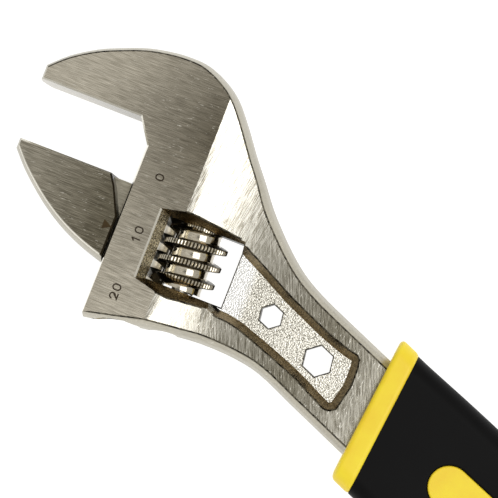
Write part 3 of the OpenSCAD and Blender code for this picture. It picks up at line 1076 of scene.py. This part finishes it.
def catmull(points: Sequence[tuple[float, float]], steps: int) -> Loop:
    """Returns a smooth curve through the points.

    Args:
        points: the points it passes.
        steps: how many steps it takes between neighbours.
    """
    curve: Loop = []
    last = len(points) - 1
    for i in range(last):
        a, b = points[max(i - 1, 0)], points[i]
        c, d = points[i + 1], points[min(i + 2, last)]
        for k in range(steps):
            t = k / steps
            curve.append(tuple(
                0.5 * (2 * b[n] + (c[n] - a[n]) * t
                       + (2 * a[n] - 5 * b[n] + 4 * c[n] - d[n]) * t * t
                       + (3 * b[n] - a[n] - 3 * c[n] + d[n]) * t ** 3)
                for n in (0, 1)
            ))
    curve.append(tuple(points[last]))
    return curve


@dataclass
class Grip:
    """The two-shot grip: yellow core with collar and inlay, black cover."""

    width: float = 24.4
    end: float = 101.5
    slant_deg: float = 16.3
    collar_x: float = 21.65
    collar_w: float = 3.8
    collar_proud: float = 0.25
    edge_round: float = 3.2
    inlay_r: float = 3.5
    inlay_back_r: float = 4.1
    inlay_len: float = 42.0
    inlay_front: float = 39.9
    hang_x: float = 94.0
    hang_r: float = 3.0
    eyelet_wall: float = 1.4
    rings: int = 10
    lip: float = 0.35

    def half_width(self) -> Loop:
        """Returns the grip's half width along the handle, in mm."""
        half = self.width / 2
        end = self.end
        return catmull(
            [(8, half - 0.6), (24, half - 0.3), (36, half), (50, half),
             (end - 32, half - 0.7), (end - 16, half - 0.5), (end - 8, half - 1.5),
             (end - 4, half - 3.6), (end - 1.3, half - 6.6), (end - 0.1, half - 10.2)],
            8,
        )

    def inlay(self) -> Loop:
        """Returns the inlay's oval on a face."""
        back = self.inlay_front + self.inlay_len - 2 * self.inlay_r
        return stadium(self.inlay_front, self.inlay_r, back, self.inlay_back_r)

    def section_z(self, inset: float, half: float) -> float:
        """Works out the rounded edge's height.

        Args:
            inset: the distance in from the outline.
            half: the height of the flat face.

        Returns:
            The height there.
        """
        if inset >= self.edge_round:
            return half
        away = self.edge_round - inset
        return half - self.edge_round + math.sqrt(max(self.edge_round ** 2 - away ** 2, 0))

    def outline(self, front: float, proud: float) -> Loop:
        """Returns the outline behind a slanted line, clockwise from above, in mm.

        Args:
            front: where the slanted front crosses the handle's axis.
            proud: how far it stands outside the grip's own outline.
        """
        slope = math.tan(math.radians(self.slant_deg))
        side = self.half_width()

        def beyond(sign: int) -> Loop:
            """Returns the side's points behind the slanted line."""
            kept = [(x, sign * (y + proud)) for x, y in side
                    if x > front - sign * (y + proud) * slope + 0.3]
            y0 = kept[0][1]
            return [(front - y0 * slope, y0)] + kept

        upper, lower = beyond(1), beyond(-1)
        return upper + lower[::-1]


def inset_loop(loop: Loop, inset: float, fixed: Callable[[int], bool]) -> Loop:
    """Moves a clockwise loop inwards.

    Args:
        loop: the loop's points.
        inset: how far to move them.
        fixed: says of an edge, by its first point, that it stays where it is.

    Returns:
        The moved loop, with as many points.
    """
    count = len(loop)
    moved: Loop = []
    for i, (x, y) in enumerate(loop):
        px, py = loop[i - 1]
        nx, ny = loop[(i + 1) % count]
        before = Vector((x - px, y - py)).normalized()
        after = Vector((nx - x, ny - y)).normalized()
        in_before = Vector((before.y, -before.x))
        in_after = Vector((after.y, -after.x))
        if fixed((i - 1) % count):
            step = -before if before.dot(in_after) < 0 else before
            at = Vector((x, y)) + step * inset / max(step.dot(in_after), 0.3)
        elif fixed(i):
            step = after if after.dot(in_before) > 0 else -after
            at = Vector((x, y)) + step * inset / max(step.dot(in_before), 0.3)
        else:
            way = (in_before + in_after).normalized()
            at = Vector((x, y)) + way * inset / max(way.dot(in_after), 0.5)
        moved.append((at.x, at.y))
    return moved


def ring_of(bm: bmesh.types.BMesh, loop: Loop, z: float) -> Ring:
    """Adds a loop's points at a height, all in mm from the small hexagon hole."""
    return [bm.verts.new((HEX_X + x * MM, HANDLE_Y + y * MM, z * MM)) for x, y in loop]


def skin(bm: bmesh.types.BMesh, low: Ring, high: Ring) -> None:
    """Joins two rings of the same length with quads.

    Args:
        bm: the shape.
        low: the first ring.
        high: the second, above it.
    """
    count = len(low)
    for i in range(count):
        j = (i + 1) % count
        bm.faces.new((low[i], low[j], high[j], high[i]))


def stack_skin(bm: bmesh.types.BMesh, rings: Sequence[Ring]) -> None:
    """Joins each ring to the next."""
    for low, high in zip(rings, rings[1:]):
        skin(bm, low, high)


def edges_of(bm: bmesh.types.BMesh, ring: Ring) -> list[bmesh.types.BMEdge]:
    """Returns the edges round a ring, adding those that are missing.

    Args:
        bm: the shape.
        ring: the ring's corners in order.
    """
    found = []
    for i, vert in enumerate(ring):
        other = ring[(i + 1) % len(ring)]
        found.append(bm.edges.get((vert, other)) or bm.edges.new((vert, other)))
    return found


def stadium(x0: float, r0: float, x1: float, r1: float, steps: int = 24) -> Loop:
    """Returns an oval of two arcs and two straight sides, clockwise from above.

    Args:
        x0: the front arc's centre.
        r0: its radius.
        x1: the back arc's centre.
        r1: its radius.
        steps: the steps round each arc.
    """
    loop: Loop = []
    for i in range(steps + 1):
        a = math.pi / 2 - math.pi * i / steps
        loop.append((x1 + r1 * math.cos(a), r1 * math.sin(a)))
    for i in range(steps + 1):
        a = -math.pi / 2 - math.pi * i / steps
        loop.append((x0 + r0 * math.cos(a), r0 * math.sin(a)))
    return loop


def circle(x: float, r: float, steps: int = 48) -> Loop:
    """Returns a circle on the handle's axis, clockwise from above."""
    return [(x + r * math.cos(-2 * math.pi * i / steps), r * math.sin(-2 * math.pi * i / steps))
            for i in range(steps)]


@dataclass
class GripCover(Grip):
    """The black cover: a rounded shell with an oval opening on each face."""

    name: str = "soft_black_cover"

    def soft_lip(self, bm: bmesh.types.BMesh, opening: Loop, sign: int) -> tuple[Ring, Ring]:
        """Adds the soft lip round an opening on one face.

        Args:
            bm: the shape.
            opening: the opening's outline.
            sign: 1 for the upper face, -1 for the lower.

        Returns:
            The lip's rim on the face and its ring at the bottom.
        """
        half = HALF_GRIP / MM
        levels = ((self.lip, 0.0), (self.lip * 0.3, self.lip * 0.3), (0.0, self.lip))
        rings = [ring_of(bm, inset_loop(opening, -out, lambda i: False), sign * (half - drop))
                 for out, drop in levels]
        stack_skin(bm, rings)
        return rings[0], rings[-1]

    def build(self) -> bpy.types.Object:
        """Makes the cover's piece."""
        bm = bmesh.new()
        loop = self.outline(self.collar_x + self.collar_w, 0.0)
        half = HALF_GRIP / MM
        # The front edge runs from the last point back to the first
        front = len(loop) - 1
        insets = [self.edge_round * (1 - math.cos(math.pi / 2 * i / self.rings))
                  for i in range(self.rings + 1)]
        upper, lower = (
            [ring_of(bm, inset_loop(loop, inset, lambda i: i == front),
                     sign * self.section_z(inset, half)) for inset in insets]
            for sign in (1, -1)
        )
        stack_skin(bm, lower[::-1] + upper)
        bottoms: dict[int, list[Ring]] = {1: [], -1: []}
        eyelet = circle(self.hang_x, self.hang_r + self.eyelet_wall)
        for sign, stack in ((1, upper), (-1, lower)):
            edges = edges_of(bm, stack[-1])
            for opening in (self.inlay(), eyelet):
                rim, bottom = self.soft_lip(bm, opening, sign)
                edges += edges_of(bm, rim)
                bottoms[sign].append(bottom)
            bmesh.ops.triangle_fill(bm, edges=edges, use_beauty=True)
        for high, low in zip(bottoms[1], bottoms[-1]):
            skin(bm, high, low)
        bmesh.ops.recalc_face_normals(bm, faces=bm.faces)
        obj = new_object(self.name, mesh_from(bm, self.name, 50.0))
        obj.data.materials.append(finish_material(BLACK_SHOT))
        weigh_normals(obj)
        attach(obj, "wrench_body")
        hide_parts("grip_cover")
        return obj


@dataclass
class GripCore(Grip):
    """The yellow core: collar, inlays and the hanging hole's eyelet."""

    name: str = "yellow_core"
    corner_round: float = 0.8
    corner_steps: int = 10

    def collar_section(self, half_y: float, half_z: float) -> Loop:
        """Returns the collar's rounded section.

        Args:
            half_y: half its width.
            half_z: half its height.
        """
        corner = self.edge_round
        y, z = half_y - corner, half_z - corner
        section: Loop = []
        for quarter, (cy, cz) in enumerate(((y, z), (-y, z), (-y, -z), (y, -z))):
            for i in range(self.corner_steps + 1):
                a = math.radians(90 * quarter + 90 * i / self.corner_steps)
                section.append((cy + corner * math.cos(a), cz + corner * math.sin(a)))
        return section

    def collar_rows(self) -> Loop:
        """Returns the collar's rows: their place along it and how far they draw in."""
        r = self.corner_round
        turns = [math.pi / 2 * i / 5 for i in range(5, -1, -1)]
        front = [(r * (1 - math.sin(a)), r * (1 - math.cos(a))) for a in turns]
        return front + [(self.collar_w - off, inset * 0.5) for off, inset in reversed(front)]

    def collar(self, bm: bmesh.types.BMesh) -> None:
        """Adds the collar: a slanted band with eased edges all round.

        Args:
            bm: the shape.
        """
        slope = math.tan(math.radians(self.slant_deg))
        half_y = self.width / 2 - 0.3 + self.collar_proud
        half_z = HALF_GRIP / MM + self.collar_proud
        section = self.collar_section(half_y, half_z)
        rings = []
        for along, inset in self.collar_rows():
            ring = []
            for y, z in section:
                yy, zz = y * (half_y - inset) / half_y, z * (half_z - inset) / half_z
                x = self.collar_x + along - yy * slope
                ring.append(bm.verts.new((HEX_X + x * MM, HANDLE_Y + yy * MM, zz * MM)))
            rings.append(ring)
        stack_skin(bm, rings)
        bm.faces.new(rings[0])
        bm.faces.new(rings[-1][::-1])

    def pad(self, bm: bmesh.types.BMesh, sign: int) -> None:
        """Adds the inlay on one face.

        Args:
            bm: the shape.
            sign: 1 for the upper face, -1 for the lower.
        """
        half = HALF_GRIP / MM
        levels = ((0.02, 2.0), (0.02, 0.3), (0.12, 0.08), (0.35, 0.0))
        rings = [ring_of(bm, inset_loop(self.inlay(), inset, lambda i: False),
                         sign * (half - drop)) for inset, drop in levels]
        stack_skin(bm, rings)
        bm.faces.new(rings[0])
        bm.faces.new(rings[-1])

    def eyelet(self, bm: bmesh.types.BMesh) -> None:
        """Adds the hanging hole's eyelet, a tube with rounded rims.

        Args:
            bm: the shape.
        """
        half, outer, hole = HALF_GRIP / MM, self.hang_r + self.eyelet_wall, self.hang_r
        rims = ((hole, 0.4), (hole + 0.12, 0.1), (hole + 0.35, 0.0),
                (outer - 0.3, 0.0), (outer - 0.06, 0.1), (outer - 0.02, 0.4))
        whole = [ring_of(bm, circle(self.hang_x, r), half - drop) for r, drop in rims]
        whole += [ring_of(bm, circle(self.hang_x, r), drop - half)
                  for r, drop in reversed(rims)]
        stack_skin(bm, whole + whole[:1])

    def build(self) -> bpy.types.Object:
        """Makes the core's piece."""
        bm = bmesh.new()
        self.collar(bm)
        self.pad(bm, 1)
        self.pad(bm, -1)
        self.eyelet(bm)
        bmesh.ops.recalc_face_normals(bm, faces=bm.faces)
        obj = new_object(self.name, mesh_from(bm, self.name, 50.0))
        obj.data.materials.append(finish_material(YELLOW_SHOT))
        weigh_normals(obj)
        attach(obj, "wrench_body")
        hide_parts("grip_core")
        return obj


# ---- small parts that keep their CAD shape ----------------------------------


def dress_node(node: str, finish: Finish) -> None:
    """Gives a CAD node its finish.

    Args:
        node: the CAD node's name.
        finish: its finish.
    """
    obj = frame["nodes"][node]
    obj.data.materials.clear()
    obj.data.materials.append(finish_material(finish))
    weld = obj.modifiers.new("joined_corners", "WELD")
    weld.merge_threshold = 0.001 * MM


# ---- the room ---------------------------------------------------------------


@dataclass
class Studio:
    """Floor, lights and camera."""

    floor_size: float = 3.0
    # The soft box leans towards the handle and aims at the head
    box_front: float = 20 * MM
    box_lean_deg: float = 25.0
    box_away: float = 0.85
    box_size: float = 0.55
    box_watts: float = 2.5
    # The room's tone by degrees off the zenith: dark overhead, pale all round
    room: tuple[tuple[float, str], ...] = (
        (0.0, "#6E6D69"), (5.0, "#8A8984"), (9.0, "#AAA8A2"), (14.0, "#D2D0CA"),
        (24.0, "#E0DED8"), (60.0, "#C6C4BE"),
    )
    room_reach_deg: float = 60.0
    room_strength: float = 1.0
    # The camera and the point it looks at, from the small hexagon hole
    camera_at: tuple[float, float] = (17.8 * MM, 3.8 * MM)
    camera_aim: tuple[float, float] = (-10.0 * MM, 5.5 * MM)
    camera_height: float = 350 * MM
    picture_up: tuple[float, float, float] = (-0.692, 0.722, 0.0)
    picture_width: float = 81.1 * MM
    sensor_mm: float = 36.0

    def floor(self) -> None:
        """Lays white paper under the tool."""
        bm = bmesh.new()
        bmesh.ops.create_grid(bm, x_segments=2, y_segments=2, size=self.floor_size / 2)
        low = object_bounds()[0].z
        for vert in bm.verts:
            vert.co.z = low
        mesh = bpy.data.meshes.new("background_paper")
        bm.to_mesh(mesh)
        bm.free()
        obj = new_object("background_paper", mesh)
        mesh.materials.append(SweptPaper().material())
        obj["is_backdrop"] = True

    def slope_box(self) -> None:
        """Hangs the soft box that the head's slope mirrors."""
        middle = Vector((HEX_X - self.box_front, HANDLE_Y, 0))
        lean = math.radians(self.box_lean_deg)
        way = JAW.p_axis * math.sin(lean) + Vector((0, 0, math.cos(lean)))
        data = bpy.data.lights.new("slope_box", "AREA")
        data.shape = "SQUARE"
        data.size = self.box_size
        data.energy = self.box_watts
        obj = bpy.data.objects.new("slope_box", data)
        bpy.context.scene.collection.objects.link(obj)
        obj.location = middle + way * self.box_away
        obj.rotation_mode = "QUATERNION"
        obj.rotation_quaternion = (middle - obj.location).to_track_quat("-Z", "Y")

    def room_light(self) -> None:
        """Sets the room's own light, by degrees off the zenith."""
        world = bpy.data.worlds.new("room")
        bpy.context.scene.world = world
        world.use_nodes = True
        tree = world.node_tree
        tree.nodes.clear()
        way = add(tree, "TexCoord").outputs["Generated"]
        place = add(tree, "SeparateXYZ", {0: way})
        off = add(tree, "Math", {0: place.outputs["Z"]}, operation="ARCCOSINE")
        share = add(tree, "MapRange",
                    {"Value": off.outputs[0], "From Min": 0.0,
                     "From Max": math.radians(self.room_reach_deg)})
        ramp = add(tree, "ValToRGB", {"Fac": share.outputs[0]})
        stops = ramp.color_ramp.elements
        for _ in range(len(self.room) - 2):
            stops.new(0.5)
        for stop, (angle, tone) in zip(stops, self.room):
            stop.position = angle / self.room_reach_deg
            stop.color = linear(tone)
        back = add(tree, "Background", {"Color": ramp.outputs["Color"],
                                        "Strength": self.room_strength})
        add(tree, "OutputWorld", {"Surface": back.outputs[0]})

    def camera(self) -> None:
        """Sets the camera above the neck, looking down at the head."""
        data = bpy.data.cameras.new("camera")
        obj = bpy.data.objects.new("camera", data)
        bpy.context.scene.collection.objects.link(obj)
        bpy.context.scene.camera = obj
        hole = Vector((HEX_X, HANDLE_Y, HALF_HEAD))
        at = hole + Vector((*self.camera_at, self.camera_height))
        aim = hole + Vector((*self.camera_aim, 0.0))
        back = (at - aim).normalized()
        right = Vector(self.picture_up).cross(back).normalized()
        turn = Matrix((right, back.cross(right), back)).transposed()
        obj.matrix_world = Matrix.Translation(at) @ turn.to_4x4()
        data.sensor_width = self.sensor_mm
        data.lens = self.sensor_mm * (at - aim).length / self.picture_width
        data.clip_start = 0.01
        data.clip_end = 10.0


# ---- main -------------------------------------------------------------------


def report(made: Iterable[bpy.types.Object]) -> None:
    """Logs each piece with its number of faces."""
    for obj in made:
        log.info("%s: %d faces", obj.name, len(obj.data.polygons))


def main() -> None:
    """Builds every part in order."""
    logging.basicConfig(level=logging.INFO, format="%(name)s: %(message)s")
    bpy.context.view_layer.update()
    made = [
        WrenchBody().build(),
        MovingJaw().build(),
        Worm().build(),
        GripCore().build(),
        GripCover().build(),
    ]
    dress_node("worm_pin", PIN_STEEL)
    dress_node("worm_spring", SPRING_WIRE)
    dress_node("scale_marks", MARK_FILL)
    dress_node("index_mark", ARROW_FILL)
    studio = Studio()
    studio.floor()
    studio.slope_box()
    studio.room_light()
    studio.camera()
    bpy.context.scene.view_settings.view_transform = "Standard"
    report(made)


if __name__ == "__main__":
    main()
